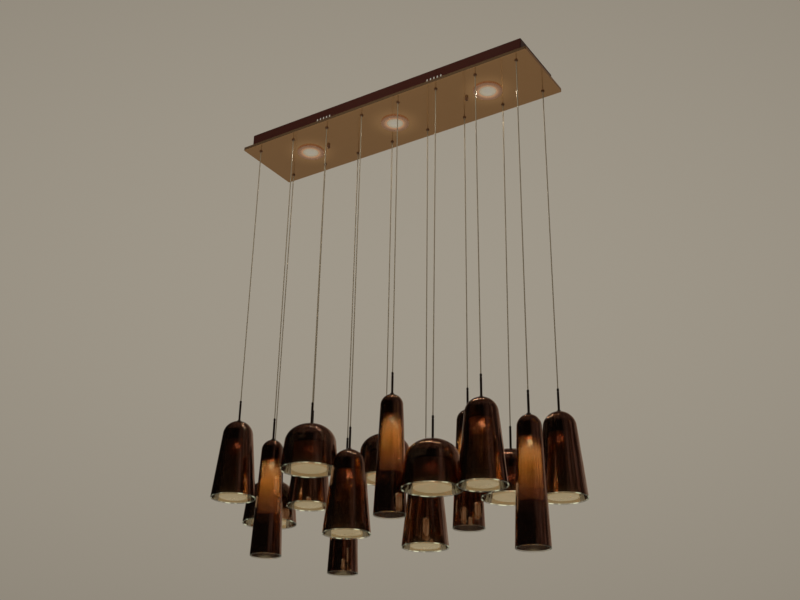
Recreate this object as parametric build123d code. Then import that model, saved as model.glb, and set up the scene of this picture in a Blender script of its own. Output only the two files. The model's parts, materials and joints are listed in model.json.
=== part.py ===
from build123d import *
import math
import os
from dataclasses import dataclass

# Linear pendant light: a long canopy under the ceiling, three flush downlights and two rows of
# glass shades, each shade hanging on its own cable.
# Millimetres, +Z up. The origin is the middle of the ceiling face, X runs along the canopy, and
# the front row hangs at negative Y.

# Cover plate, the polished face of the canopy, with a rim turned up around it
plate_length = 1000.0
plate_width = 235.0
plate_thickness = 3.0
plate_corner_radius = 4.0
plate_edge_chamfer = 0.5
plate_rim_height = 10.0
plate_rim_wall = 2.0

# Housing, the folded tray above the cover plate
housing_length = 956.0
housing_width = 202.0
housing_height = 53.0
housing_wall = 1.2
housing_corner_radius = 3.0
housing_hem = 8.0

# Vent slots in both long sides of the housing
vent_group_offset = 198.0
vent_count = 5
vent_pitch = 11.5
vent_width = 5.2
vent_height = 12.0
vent_rise = 26.0

# Grid of the sixteen cable exits
column_pitch = 130.0
column_count = 8
row_gap = 170.0

# Ceiling bracket and the two studs that pull the canopy up to it
bracket_width = 30.0
bracket_thickness = 1.5
bracket_joggle = 6.0
bracket_pad_length = 36.0
bracket_slot_offset = 120.0
bracket_slot_width = 5.5
bracket_slot_length = 20.0
stud_offset = 250.0
stud_radius = 2.5
stud_head_radius = 4.5
stud_head_height = 3.0
cap_nut_radius = 5.0
cap_nut_height = 10.0
cap_nut_bore_depth = 7.0

# Downlights
downlight_offset = 320.0
bezel_radius = 42.5
bezel_proud = 4.5
bezel_lip = 1.5
bezel_opening_radius = 25.0
bezel_edge_round = 1.2
sleeve_radius = 30.0
sleeve_wall = 2.0
sleeve_height = 16.0
lock_ring_width = 6.0
lock_ring_height = 3.0
lens_thickness = 3.0
module_height = 22.0
module_fin_count = 12
module_fin_depth = 4.0
module_fin_gap = 3.0
module_base_height = 6.0

# Cord grips, one at each cable exit
grip_flange_radius = 5.0
grip_flange_height = 1.5
grip_nozzle_radius = 3.2
grip_drop = 4.0
grip_shank_radius = 3.5
grip_shank_rise = 6.0
grip_bore_radius = 1.7
grip_nut_flats = 10.0
grip_nut_height = 4.0

# Electrical parts on the housing floor
driver_length = 120.0
driver_width = 36.0
driver_height = 24.0
driver_offset_x = 160.0
driver_offset_y = 50.0
driver_round = 2.0
terminal_length = 46.0
terminal_width = 18.0
terminal_height = 14.0
terminal_ways = 3
terminal_screw_radius = 2.2
terminal_screw_depth = 5.0

# Pendant parts shared by every shade
cable_radius = 1.5
stem_radius = 3.0
stem_length = 62.0
collar_radius = 6.0
collar_height = 3.0
collar_socket_depth = 2.0
glass_thickness = 3.0
glass_rim_round = 1.3
holder_neck_radius = 6.0
holder_socket_depth = 8.0
holder_body_radius = 16.0
holder_body_top = 20.0
holder_depth = 57.0
holder_cap_height = 5.0
holder_cap_overhang = 1.0
holder_spigot_height = 3.0
holder_spigot_wall = 1.5
capsule_radius = 7.0
capsule_length = 22.0
diffuser_wall = 1.5
diffuser_floor = 2.0
diffuser_edge_round = 1.5

# Clearances
thread_clearance = 0.05
hole_clearance = 0.4
seat_clearance = 0.3
shade_gap = 1.0


@dataclass(frozen=True)
class ShadeKind:
    """One glass shape: an elliptical crown that runs smoothly into a straight flared side."""

    crown_radius: float
    crown_height: float
    rim_radius: float
    height: float
    diffuser_top_radius: float
    diffuser_bottom_radius: float
    diffuser_bottom_depth: float
    gives_way: float

    def inset(self, wall):
        """The same shape, one wall thickness further in, as (crown radius, crown height, rim)."""
        return self.crown_radius - wall, self.crown_height - wall, self.rim_radius - wall

    def side_start(self, wall=0.0):
        """Angle up the crown ellipse, in degrees, where the straight side leaves it tangentially."""
        radius, rise, rim = self.inset(wall)
        drop = (self.height - self.crown_height) * radius / rise
        distance = math.hypot(rim, drop)
        return math.degrees(math.acos(radius / distance) - math.atan2(drop, rim))

    def radius_at(self, depth):
        """Outer radius at a depth below the top of the glass, or zero where there is no glass."""
        if depth < 0 or depth > self.height:
            return 0.0
        start = math.radians(self.side_start())
        side_depth = self.crown_height * (1 - math.sin(start))
        if depth < side_depth:
            rise = 1 - depth / self.crown_height
            return self.crown_radius * math.sqrt(1 - rise * rise)
        side_radius = self.crown_radius * math.cos(start)
        share = (depth - side_depth) / (self.height - side_depth)
        return side_radius + share * (self.rim_radius - side_radius)


tube = ShadeKind(
    crown_radius=30.0,
    crown_height=30.0,
    rim_radius=42.0,
    height=317.0,
    diffuser_top_radius=24.0,
    diffuser_bottom_radius=29.5,
    diffuser_bottom_depth=212.0,
    gives_way=1.0,
)
bell = ShadeKind(
    crown_radius=43.0,
    crown_height=42.0,
    rim_radius=62.5,
    height=222.0,
    diffuser_top_radius=29.0,
    diffuser_bottom_radius=39.0,
    diffuser_bottom_depth=219.0,
    gives_way=1.0,
)
dome = ShadeKind(
    crown_radius=70.0,
    crown_height=54.0,
    rim_radius=78.0,
    height=128.0,
    diffuser_top_radius=44.0,
    diffuser_bottom_radius=48.0,
    diffuser_bottom_depth=125.0,
    gives_way=2.0,
)

# Each row from the left end to the right end: the shade, and how far its rim hangs below the plate
front_row = [
    (bell, 1125.0),
    (tube, 1294.0),
    (dome, 1080.0),
    (bell, 1263.0),
    (tube, 1229.0),
    (dome, 1179.0),
    (bell, 1187.0),
    (tube, 1347.0),
]
back_row = [
    (dome, 1162.0),
    (bell, 1127.0),
    (tube, 1324.0),
    (dome, 1082.0),
    (bell, 1279.0),
    (tube, 1243.0),
    (dome, 1181.0),
    (bell, 1197.0),
]

# Heights that follow from the sizes above
plate_top = -housing_height
plate_underside = plate_top - plate_thickness
housing_floor_top = plate_top + housing_wall
pivot_height = plate_underside - grip_drop


def column_x(column):
    """X of a cable exit, counted from the left end of the row."""
    return (column - (column_count - 1) / 2) * column_pitch


def row_y(row):
    """Y of a row of cable exits."""
    return -row_gap / 2 if row == "front" else row_gap / 2


def exit_points():
    """The places of all cable exits, as (x, y) pairs."""
    return [(column_x(column), row_y(row)) for row in ("front", "back") for column in range(column_count)]


def downlight_points():
    """The centres of the downlights."""
    return [(offset, 0.0) for offset in (-downlight_offset, 0.0, downlight_offset)]


def stud_points():
    """The places of the two studs."""
    return [(-stud_offset, 0.0), (stud_offset, 0.0)]


def standing(radius, height, base):
    """An upright cylinder on the Z axis whose lower face is at base."""
    return Pos(0, 0, base + height / 2) * Cylinder(radius, height)


def ring(outer, inner, height, base):
    """An upright ring on the Z axis whose lower face is at base."""
    return standing(outer, height, base) - standing(inner, height, base)


def copies(shape, points):
    """Copies of one solid at several places."""
    return [Pos(x, y, 0) * shape for x, y in points]


# Canopy


def make_cover_plate():
    """The polished plate inside its upturned rim, with its cable, stud and downlight holes."""
    inner_length = plate_length - 2 * plate_rim_wall
    inner_width = plate_width - 2 * plate_rim_wall
    inner_corner = plate_corner_radius - plate_rim_wall
    plate = extrude(RectangleRounded(plate_length, plate_width, plate_corner_radius), plate_rim_height)
    plate = chamfer(plate.faces().sort_by(Axis.Z)[0].edges(), plate_edge_chamfer)
    inner = extrude(RectangleRounded(inner_length, inner_width, inner_corner), plate_rim_height)
    plate -= Pos(0, 0, plate_thickness) * inner
    plate = Pos(0, 0, plate_underside) * plate
    return plate - canopy_holes(plate_underside, plate_thickness)


def canopy_holes(base, thickness):
    """The cutters for every hole that goes through the plate and the housing floor alike."""
    grip_hole = standing(grip_shank_radius + hole_clearance, thickness, base)
    stud_hole = standing(stud_radius + hole_clearance, thickness, base)
    sleeve_hole = standing(sleeve_radius + hole_clearance, thickness, base)
    cutters = copies(grip_hole, exit_points())
    cutters += copies(stud_hole, stud_points())
    cutters += copies(sleeve_hole, downlight_points())
    return cutters


def make_housing():
    """The tray: four walls, a floor that the plate lies against, and a hem at the ceiling."""
    inner_length = housing_length - 2 * housing_wall
    inner_width = housing_width - 2 * housing_wall
    inner_corner = housing_corner_radius - housing_wall
    outer = extrude(RectangleRounded(housing_length, housing_width, housing_corner_radius), housing_height)
    inner = extrude(RectangleRounded(inner_length, inner_width, inner_corner), housing_height - 2 * housing_wall)
    mouth = Box(inner_length - 2 * housing_hem, inner_width - 2 * housing_hem, 4 * housing_wall)
    tray = Pos(0, 0, plate_top) * outer
    tray -= Pos(0, 0, housing_floor_top) * inner
    tray -= mouth
    tray -= canopy_holes(plate_top, housing_wall)
    return tray - vent_cutters()


def vent_cutters():
    """Upright slots through both long sides."""
    slot = extrude(SlotOverall(vent_height, vent_width, rotation=90), housing_width)
    slot = Rot(90, 0, 0) * slot
    slot = Pos(0, housing_width / 2, plate_underside + vent_rise) * slot
    depth = housing_wall * 2
    keep_out = Box(housing_length, housing_width - depth * 2, housing_height * 2)
    slot = slot - keep_out
    middle = (vent_count - 1) / 2
    places = []
    for side in (-1, 1):
        for number in range(vent_count):
            places.append((side * vent_group_offset + (number - middle) * vent_pitch, 0.0))
    return copies(slot, places)


def make_bracket():
    """A flat bar on the ceiling whose two ends step down to carry the studs."""
    pad_outer = stud_offset + bracket_pad_length / 2
    pad_inner = stud_offset - bracket_pad_length / 2
    flat_end = pad_inner - bracket_joggle
    top = [(flat_end, 0.0), (pad_inner, -bracket_joggle), (pad_outer, -bracket_joggle)]
    low = [(x, z - bracket_thickness) for x, z in reversed(top)]
    right = top + low
    left = [(-x, z) for x, z in reversed(right)]
    section = make_face(Polyline(*right, *left, close=True))
    bar = extrude(Plane.XZ * section, bracket_width / 2, both=True)
    slot = extrude(SlotOverall(bracket_slot_length, bracket_slot_width), bracket_thickness * 2, both=True)
    bar -= copies(slot, [(-bracket_slot_offset, 0.0), (bracket_slot_offset, 0.0)])
    hole = standing(stud_radius + hole_clearance, housing_height, -housing_height)
    return bar - copies(hole, stud_points())


def make_studs():
    """Headed studs that stand on the bracket's pads and reach down into the cap nuts."""
    tip = plate_underside - cap_nut_bore_depth + seat_clearance
    shank = standing(stud_radius, -bracket_joggle - tip, tip)
    head = standing(stud_head_radius, stud_head_height, -bracket_joggle)
    return copies(shank + head, stud_points())


def make_cap_nuts():
    """Round cap nuts against the plate, each with a blind bore and a domed end."""
    body = standing(cap_nut_radius, cap_nut_height, plate_underside - cap_nut_height)
    body = fillet(body.faces().sort_by(Axis.Z)[0].edges(), cap_nut_radius * 0.8)
    bore = standing(stud_radius + thread_clearance, cap_nut_bore_depth, plate_underside - cap_nut_bore_depth)
    return copies(body - bore, stud_points())


def make_bezels():
    """Downlight bezels: a flat proud ring, and a sleeve up through the plate and housing floor."""
    bezel = ring(bezel_radius, bezel_opening_radius, bezel_proud, plate_underside - bezel_proud)
    bezel = fillet(bezel.faces().sort_by(Axis.Z)[0].edges(), bezel_edge_round)
    sleeve = standing(sleeve_radius, sleeve_height, plate_underside)
    seat_base = plate_underside - bezel_proud + bezel_lip
    seat = standing(sleeve_radius - sleeve_wall, sleeve_height + bezel_proud, seat_base)
    return copies(bezel + sleeve - seat, downlight_points())


def make_lenses():
    """Round lenses that lie on the lip inside each bezel."""
    base = plate_underside - bezel_proud + bezel_lip
    radius = sleeve_radius - sleeve_wall - seat_clearance
    return copies(standing(radius, lens_thickness, base), downlight_points())


def make_modules():
    """Light engines above the lenses, finned around their upper part."""
    base = plate_underside - bezel_proud + bezel_lip + lens_thickness
    radius = sleeve_radius - sleeve_wall - seat_clearance
    engine = standing(radius, module_height, base)
    fin_base = base + module_base_height
    fin_height = module_height - module_base_height
    slot = Box(module_fin_depth * 2, module_fin_gap, fin_height)
    slot = Pos(radius, 0, fin_base + fin_height / 2) * slot
    for number in range(module_fin_count):
        engine -= Rot(0, 0, number * 360 / module_fin_count) * slot
    return copies(engine, downlight_points())


def make_lock_rings():
    """Threaded rings that hold the bezel sleeves down on the housing floor."""
    outer = sleeve_radius + lock_ring_width
    lock = ring(outer, sleeve_radius + thread_clearance, lock_ring_height, housing_floor_top)
    return copies(lock, downlight_points())


def make_cord_grips():
    """Cord grips through plate and floor, and the hexagon nut on each one."""
    flange = standing(grip_flange_radius, grip_flange_height, plate_underside - grip_flange_height)
    nozzle_height = grip_drop - grip_flange_height
    nozzle = Cone(grip_nozzle_radius, grip_shank_radius, nozzle_height)
    nozzle = Pos(0, 0, pivot_height + nozzle_height / 2) * nozzle
    shank_height = plate_thickness + housing_wall + grip_shank_rise
    grip = flange + nozzle + standing(grip_shank_radius, shank_height, plate_underside)
    grip -= standing(grip_bore_radius, grip_drop + shank_height, pivot_height)
    nut = extrude(RegularPolygon(grip_nut_flats / 2, 6, major_radius=False), grip_nut_height)
    nut = Pos(0, 0, housing_floor_top) * nut
    nut -= standing(grip_shank_radius + thread_clearance, grip_nut_height, housing_floor_top)
    return copies(grip, exit_points()) + copies(nut, exit_points())


def make_drivers():
    """Two constant-current drivers on the housing floor, behind the downlights."""
    driver = extrude(Rectangle(driver_length, driver_width), driver_height)
    driver = fillet(driver.faces().sort_by(Axis.Z)[-1].edges(), driver_round)
    driver = Pos(0, 0, housing_floor_top) * driver
    return copies(driver, [(-driver_offset_x, driver_offset_y), (driver_offset_x, driver_offset_y)])


def make_terminal_block():
    """The mains terminal block between the two drivers."""
    block = extrude(Rectangle(terminal_length, terminal_width), terminal_height)
    way = terminal_length / terminal_ways
    screw = standing(terminal_screw_radius, terminal_screw_depth, terminal_height - terminal_screw_depth)
    middle = (terminal_ways - 1) / 2
    block -= copies(screw, [((number - middle) * way, 0.0) for number in range(terminal_ways)])
    return Pos(0, driver_offset_y, housing_floor_top) * block


# Pendants, each modelled with its pivot at the origin and hanging straight down


def bell_body(kind, wall, extra=0.0):
    """The solid inside the outer or the inner face of a shade, with its top at the origin."""
    radius, rise, rim = kind.inset(wall)
    start = kind.side_start(wall)
    centre = (0, -kind.crown_height)
    arc = EllipticalCenterArc(centre, radius, rise, start_angle=start, arc_size=90 - start)
    low = (rim, -kind.height)
    foot = (rim, -kind.height - extra)
    outline = [arc, Line(arc @ 0, low)]
    if extra:
        outline.append(Line(low, foot))
    outline.append(Line(foot, (0, foot[1])))
    outline.append(Line((0, foot[1]), arc @ 1))
    section = make_face(Wire(outline))
    return revolve(Plane.XZ * section, Axis.Z)


def make_shade(kind):
    """One glass shade, hollow and open below, with a hole for the stem and a rounded rim."""
    shade = bell_body(kind, 0.0) - bell_body(kind, glass_thickness, extra=glass_thickness)
    shade -= standing(stem_radius + hole_clearance, kind.height, -kind.crown_height)
    rim_edges = shade.edges().group_by(Axis.Z)[0]
    return fillet(rim_edges, min(glass_rim_round, glass_thickness * 0.45))


def inner_seat(kind):
    """Depth of the inner face of the glass at the edge of the holder's neck."""
    radius, rise, _ = kind.inset(glass_thickness)
    share = holder_neck_radius / radius
    return kind.crown_height - rise * math.sqrt(1 - share * share)


def make_holder(kind):
    """The dark lamp holder under the crown: neck, body, cap and the spigot for the diffuser."""
    neck_top = -inner_seat(kind)
    neck = standing(holder_neck_radius, holder_body_top + neck_top, -holder_body_top)
    body_height = holder_depth - holder_body_top
    body = standing(holder_body_radius, body_height, -holder_depth)
    cap_radius = kind.diffuser_top_radius + holder_cap_overhang
    cap = standing(cap_radius, holder_cap_height, -holder_depth)
    spigot_outer = kind.diffuser_top_radius - diffuser_wall - seat_clearance
    spigot_inner = spigot_outer - holder_spigot_wall
    spigot = ring(spigot_outer, spigot_inner, holder_spigot_height, -holder_depth - holder_spigot_height)
    socket = standing(stem_radius + thread_clearance, holder_socket_depth, neck_top - holder_socket_depth)
    return neck + body + cap + spigot - socket


def make_stem():
    """The rigid rod between the cable and the collar."""
    foot = collar_height - collar_socket_depth
    return standing(stem_radius, stem_length - foot, foot)


def make_collar(kind):
    """The flanged nipple that clamps the glass: a collar on top, a shank down into the holder."""
    flange = standing(collar_radius, collar_height, 0.0)
    flange = fillet(flange.faces().sort_by(Axis.Z)[-1].edges(), collar_height / 3)
    foot = -inner_seat(kind) - holder_socket_depth
    shank = standing(stem_radius, -foot, foot)
    socket_foot = collar_height - collar_socket_depth
    return flange + shank - standing(stem_radius + thread_clearance, collar_socket_depth, socket_foot)


def make_capsule():
    """The capsule lamp that hangs from the holder inside the diffuser."""
    body_length = capsule_length - capsule_radius
    body = standing(capsule_radius, body_length, -holder_depth - body_length)
    return body + Pos(0, 0, -holder_depth - body_length) * Sphere(capsule_radius)


def make_diffuser(kind):
    """The opal inner cup, open at its top where the holder closes it."""
    height = kind.diffuser_bottom_depth - holder_depth
    top = kind.diffuser_top_radius
    bottom = kind.diffuser_bottom_radius
    cup = Cone(bottom, top, height)
    cup = fillet(cup.faces().sort_by(Axis.Z)[0].edges(), diffuser_edge_round)
    hollow_height = height - diffuser_floor
    hollow_bottom = bottom - (bottom - top) * diffuser_floor / height - diffuser_wall
    hollow = Cone(hollow_bottom, top - diffuser_wall, hollow_height)
    cup -= Pos(0, 0, diffuser_floor / 2) * hollow
    return Pos(0, 0, -holder_depth - height / 2) * cup


def make_lamp_unit(kind):
    """Everything that the cable carries except the glass, as separate solids."""
    return [make_stem(), make_collar(kind), make_holder(kind), make_capsule(), make_diffuser(kind)]


def make_cable(length):
    """A straight cable below its pivot, with a rounded upper end that turns in the cord grip."""
    return standing(cable_radius, length, -length) + Sphere(cable_radius)


def clearance(one, other, spread):
    """Room between two neighbours in a row, at the lowest height that both shades reach."""
    lowest = min(one[1], other[1])
    radii = 0.0
    for kind, drop in (one, other):
        radii += kind.radius_at(lowest - (drop - kind.height))
    return spread - radii


def settle_row(row):
    """How far each rim is pushed aside, so that no two neighbours in a row touch."""
    shifts = [0.0] * len(row)
    for _ in range(200):
        for column in range(len(row) - 1):
            one = row[column]
            other = row[column + 1]
            spread = column_pitch + shifts[column + 1] - shifts[column]
            short = shade_gap - clearance(one, other, spread)
            if short > 0:
                share = one[0].gives_way / (one[0].gives_way + other[0].gives_way)
                shifts[column] -= short * share
                shifts[column + 1] += short * (1 - share)
    return shifts


def export_node(name, solids):
    """Write one node, whether it is one solid or a group of separate solids."""
    if isinstance(solids, list):
        solids = Compound(children=[solid.solid() for solid in solids])
    export_step(solids, os.path.join("parts", name + ".step"))


def main():
    """Build and write every node."""
    os.makedirs("parts", exist_ok=True)

    export_node("cover_plate", make_cover_plate())
    export_node("housing", make_housing())
    export_node("ceiling_bracket", make_bracket())
    export_node("bracket_studs", make_studs())
    export_node("cap_nuts", make_cap_nuts())
    export_node("downlight_bezels", make_bezels())
    export_node("downlight_lenses", make_lenses())
    export_node("downlight_modules", make_modules())
    export_node("downlight_lock_rings", make_lock_rings())
    export_node("cord_grips", make_cord_grips())
    export_node("led_drivers", make_drivers())
    export_node("terminal_block", make_terminal_block())

    shades = {kind: make_shade(kind) for kind in (tube, bell, dome)}
    lamp_units = {kind: make_lamp_unit(kind) for kind in (tube, bell, dome)}
    for row, pendants in (("front", front_row), ("back", back_row)):
        shifts = settle_row(pendants)
        for column, (kind, drop) in enumerate(pendants):
            reach = drop - grip_drop
            lean = -math.degrees(math.asin(shifts[column] / reach))
            hang = Pos(column_x(column), row_y(row), pivot_height) * Rot(0, lean, 0)
            crown = hang * Pos(0, 0, kind.height - reach)
            name = f"{row}_{column + 1}"
            cable_length = reach - kind.height - stem_length
            export_node(name + "_cable", hang * make_cable(cable_length))
            export_node(name + "_shade", crown * shades[kind])
            export_node(name + "_lamp_unit", [crown * solid for solid in lamp_units[kind]])
            print(f"{name}: cable {cable_length:.0f} mm, rim pushed aside {shifts[column]:.1f} mm")


main()
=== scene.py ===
"""Looks of a linear pendant light: a long canopy with three downlights and sixteen glass shades on cables.

Metres, +Z up. The origin is the middle of the ceiling face, X runs along the canopy and the front row
hangs at negative Y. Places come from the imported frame, and sizes from the values below.
"""

import json
import logging
import math
from dataclasses import dataclass
from enum import Enum
from typing import Any, Callable, Iterable, Optional, Sequence

import bpy
from mathutils import Matrix, Quaternion, Vector

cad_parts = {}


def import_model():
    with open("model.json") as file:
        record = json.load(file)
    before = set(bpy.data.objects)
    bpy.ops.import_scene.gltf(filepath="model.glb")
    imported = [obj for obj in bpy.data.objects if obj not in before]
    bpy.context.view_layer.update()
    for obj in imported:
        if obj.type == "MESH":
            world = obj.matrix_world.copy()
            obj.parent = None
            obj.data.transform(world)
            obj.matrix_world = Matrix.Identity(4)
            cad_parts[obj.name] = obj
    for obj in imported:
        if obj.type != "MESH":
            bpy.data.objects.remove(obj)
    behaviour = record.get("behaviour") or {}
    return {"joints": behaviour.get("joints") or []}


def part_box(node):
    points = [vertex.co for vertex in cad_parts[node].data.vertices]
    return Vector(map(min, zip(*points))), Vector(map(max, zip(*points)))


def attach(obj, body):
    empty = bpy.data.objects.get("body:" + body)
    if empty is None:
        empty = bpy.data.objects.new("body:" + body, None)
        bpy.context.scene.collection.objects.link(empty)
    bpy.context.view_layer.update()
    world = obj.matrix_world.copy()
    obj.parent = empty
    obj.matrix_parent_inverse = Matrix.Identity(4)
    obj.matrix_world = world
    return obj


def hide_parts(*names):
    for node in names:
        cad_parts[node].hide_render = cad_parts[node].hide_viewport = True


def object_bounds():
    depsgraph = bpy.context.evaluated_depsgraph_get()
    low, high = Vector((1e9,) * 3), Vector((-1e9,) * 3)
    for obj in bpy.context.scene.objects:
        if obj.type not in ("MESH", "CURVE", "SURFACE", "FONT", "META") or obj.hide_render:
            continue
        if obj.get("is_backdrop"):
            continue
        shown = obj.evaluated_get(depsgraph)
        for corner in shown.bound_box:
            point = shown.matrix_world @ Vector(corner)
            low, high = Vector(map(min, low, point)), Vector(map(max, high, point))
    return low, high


log = logging.getLogger("pendant_light")

Socket = bpy.types.NodeSocket
Mesh = bpy.types.Mesh
Colour = tuple[float, float, float]
Point = tuple[float, float, float]
Profile = list[tuple[float, float]]
Stops = tuple[tuple[float, Colour], ...]

BLACK: Colour = (0.0, 0.0, 0.0)
LAMP_PITCH = 0.32
LENS_RADIUS = 0.0277
STEM_HOLE = 0.0034


# Node trees


def rgba(colour: Colour) -> tuple[float, float, float, float]:
    """A colour with full opacity, as sockets take it."""
    return (*colour, 1.0)


class Graph:
    """A node tree that is filled one node at a time."""

    def __init__(self, tree: bpy.types.NodeTree) -> None:
        """Works on the tree of a material, a world or a node group."""
        self.tree = tree

    def node(self, kind: str, **settings: Any) -> bpy.types.Node:
        """Adds a node.

        Args:
            kind: Blender's name for the kind of node.
            **settings: Attributes of the node to set.

        Returns:
            The new node.
        """
        made = self.tree.nodes.new(kind)
        for key, value in settings.items():
            setattr(made, key, value)
        return made

    def feed(self, socket: Socket, value: Any) -> None:
        """Links a socket to another one, or sets its own value.

        Args:
            socket: The input to feed.
            value: A socket to link, or a plain value.
        """
        if isinstance(value, Socket):
            self.tree.links.new(value, socket)
        elif isinstance(value, tuple) and len(value) == 3 and len(socket.default_value) == 4:
            socket.default_value = rgba(value)
        else:
            socket.default_value = value

    def fill(self, sockets: Any, **values: Any) -> None:
        """Feeds several inputs, named with underscores for spaces."""
        for key, value in values.items():
            self.feed(sockets[key.replace("_", " ")], value)

    def group(self, tree: bpy.types.NodeTree, **values: Any) -> bpy.types.bpy_prop_collection:
        """Places a shared effect.

        Args:
            tree: The effect's node group.
            **values: Its inputs, with underscores for spaces.

        Returns:
            Its outputs.
        """
        made = self.node("ShaderNodeGroup", node_tree=tree)
        self.fill(made.inputs, **values)
        return made.outputs

    def outputs(self, kind: str, *values: Any, **settings: Any) -> bpy.types.bpy_prop_collection:
        """Adds a node and feeds its inputs in order.

        Args:
            kind: Blender's name for the kind of node.
            *values: Sockets or plain values.
            **settings: Attributes of the node to set.

        Returns:
            The node's outputs.
        """
        made = self.node(kind, **settings)
        for socket, value in zip(made.inputs, values):
            self.feed(socket, value)
        return made.outputs

    def math(self, operation: str, *values: Any, clamp: bool = False) -> Socket:
        """A sum on one to three values, kept between 0 and 1 if it is clamped."""
        return self.outputs("ShaderNodeMath", *values, operation=operation, use_clamp=clamp)[0]

    def wave(self, angle: Any) -> Socket:
        """A sine, moved to between 0 and 1."""
        return self.math("MULTIPLY_ADD", self.math("SINE", angle), 0.5, 0.5)

    def hypot(self, one: Any, other: Any) -> Socket:
        """The long side of the right-angled triangle with two short sides."""
        squares = [self.math("MULTIPLY", side, side) for side in (one, other)]
        return self.math("SQRT", self.math("ADD", *squares))

    def mix(self, factor: Any, one: Any, other: Any) -> Socket:
        """A mix of two colours.

        Args:
            factor: Share of the second colour.
            one: The first colour.
            other: The second colour.

        Returns:
            The mixed colour.
        """
        made = self.node("ShaderNodeMix", data_type="RGBA")
        for number, value in ((0, factor), (6, one), (7, other)):
            self.feed(made.inputs[number], value)
        return made.outputs[2]

    def veil(self, under: Any, over: Any, mask: Any, share: float) -> Socket:
        """Lays a share of a colour over another one, where a mask says so."""
        return self.mix(self.math("MULTIPLY", mask, share), under, over)

    def remap(self, value: Any, low: float, high: float, to_low: float, to_high: float) -> Socket:
        """A value moved smoothly from one range to another one."""
        ranges = (low, high, to_low, to_high)
        return self.outputs("ShaderNodeMapRange", value, *ranges, interpolation_type="SMOOTHSTEP")[0]

    def ramp(self, value: Any, stops: Stops, easing: str = "LINEAR") -> Socket:
        """A colour read from a ramp.

        Args:
            value: Where to read, from 0 to 1.
            stops: Positions with their colours.
            easing: How colours go over into each other.

        Returns:
            The colour.
        """
        made = self.node("ShaderNodeValToRGB")
        made.color_ramp.interpolation = easing
        elements = made.color_ramp.elements
        while len(elements) < len(stops):
            elements.new(0.5)
        for element, (position, colour) in zip(elements, stops):
            element.position = position
            element.color = rgba(colour)
        self.feed(made.inputs[0], value)
        return made.outputs[0]

    def place(self) -> Socket:
        """A point's place on its own object."""
        return self.outputs("ShaderNodeTexCoord")["Object"]

    def split(self, vector: Any) -> bpy.types.bpy_prop_collection:
        """The sockets of a vector, found by X, Y and Z."""
        return self.outputs("ShaderNodeSeparateXYZ", vector)

    def scaled(self, vector: Any, scale: Any) -> Socket:
        """Coordinates, scaled along each axis."""
        return self.outputs("ShaderNodeVectorMath", vector, scale, operation="MULTIPLY")[0]

    def spill(self, light: Colour, start: float, end: float, rest: float) -> Socket:
        """The downlights' light on what is round them, by distance from the nearest of the three.

        Args:
            light: Colour of the light.
            start: Distance where it starts to fall off.
            end: Distance where it stops falling off.
            rest: The share that is left there.

        Returns:
            The light.
        """
        axes = self.split(self.place())
        along = self.math("ABSOLUTE", axes["X"])
        beside = self.math("ABSOLUTE", self.math("SUBTRACT", along, LAMP_PITCH))
        distance = self.hypot(self.math("MINIMUM", beside, along), axes["Y"])
        near = self.remap(distance, start, end, 1.0, rest)
        return self.mix(self.math("POWER", near, 2.0), BLACK, light)

    def noise(self, scale: Any, detail: float, roughness: float = 0.5, vector: Any = None) -> Socket:
        """Noise, around one half.

        Args:
            scale: How fine it is.
            detail: Number of finer layers.
            roughness: Share of the finer layers.
            vector: Where to read it, if not at a point's place on its own object.

        Returns:
            The noise value.
        """
        made = self.node("ShaderNodeTexNoise")
        place = self.place() if vector is None else vector
        self.fill(made.inputs, Vector=place, Scale=scale, Detail=detail, Roughness=roughness)
        return made.outputs[0]

    def bump(self, height: Any, strength: float, distance: float) -> Socket:
        """A normal with a relief.

        Args:
            height: The relief's height.
            strength: How strongly it shows.
            distance: Height of a full step, in metres.

        Returns:
            The new normal.
        """
        made = self.node("ShaderNodeBump")
        self.fill(made.inputs, Strength=strength, Distance=distance, Height=height)
        return made.outputs[0]


def linked(name: str, data: Any) -> bpy.types.Object:
    """A new object in the scene.

    Args:
        name: Its name.
        data: Its mesh, curve, light or camera.

    Returns:
        The object.
    """
    made = bpy.data.objects.new(name, data)
    bpy.context.scene.collection.objects.link(made)
    return made


# Shared effects


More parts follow.
